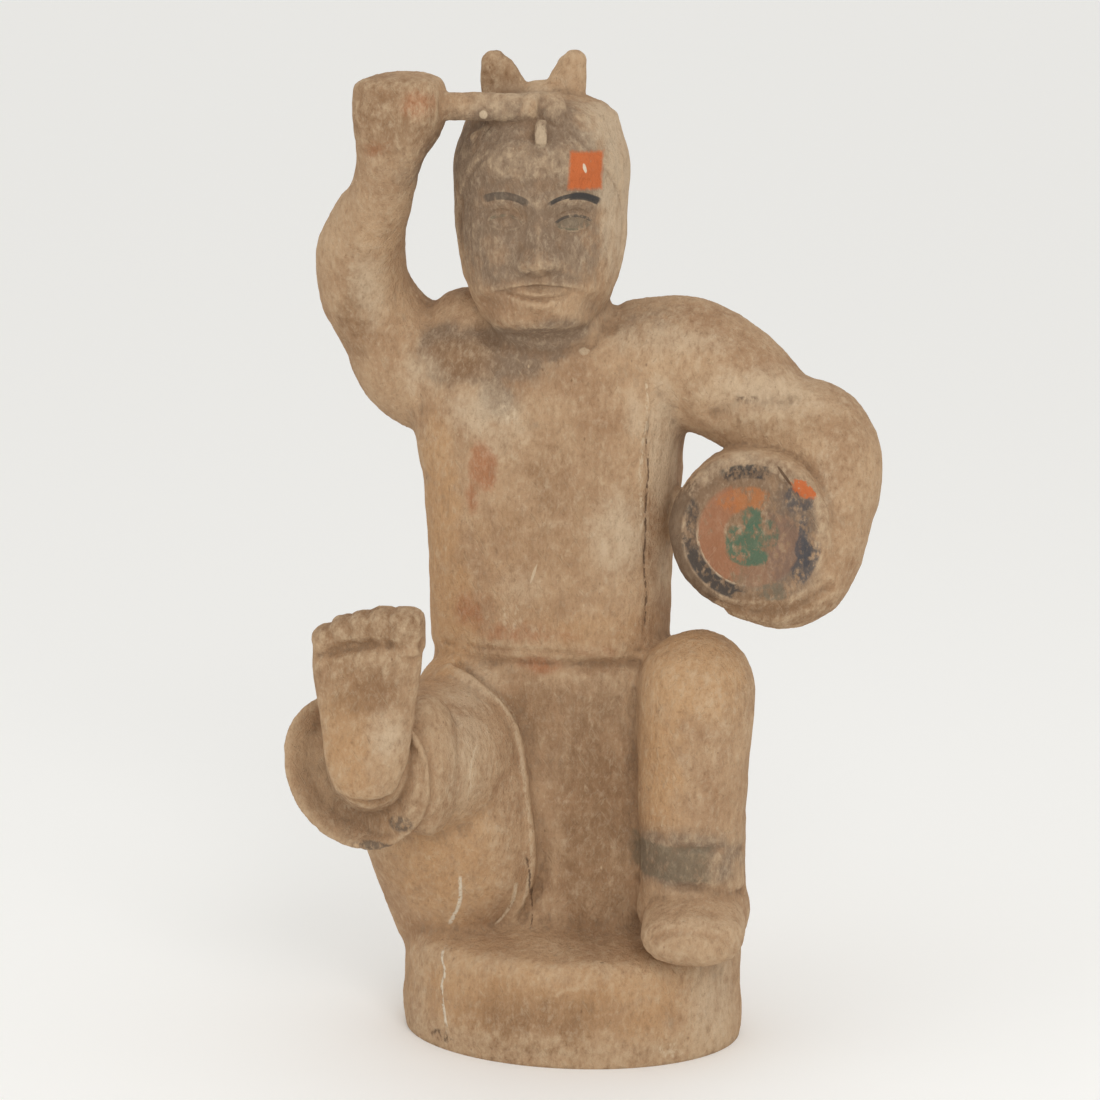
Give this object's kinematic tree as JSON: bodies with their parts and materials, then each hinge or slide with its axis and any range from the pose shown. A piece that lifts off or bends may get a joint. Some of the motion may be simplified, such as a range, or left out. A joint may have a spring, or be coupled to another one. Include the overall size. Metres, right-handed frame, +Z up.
{
  "type": "terracotta drum dancer figure",
  "caption": "Unglazed terracotta figure of a seated dancer with a round drum under one arm, a raised drumstick and a raised bare foot, on an oval plinth, in worn earth colours",
  "frame": {"origin": "the middle of the plinth's underside", "axes": "+Z up, -Y the way the figure faces, +X to the side of the arm with the drum"},
  "size_m": [0.3202, 0.2189, 0.5607],
  "materials": {
    "terracotta": "unglazed, earth-washed, with traces of paint"
  },
  "bodies": {
    "root": {"drum_dancer_figure": "terracotta"}
  },
  "joints": []
}
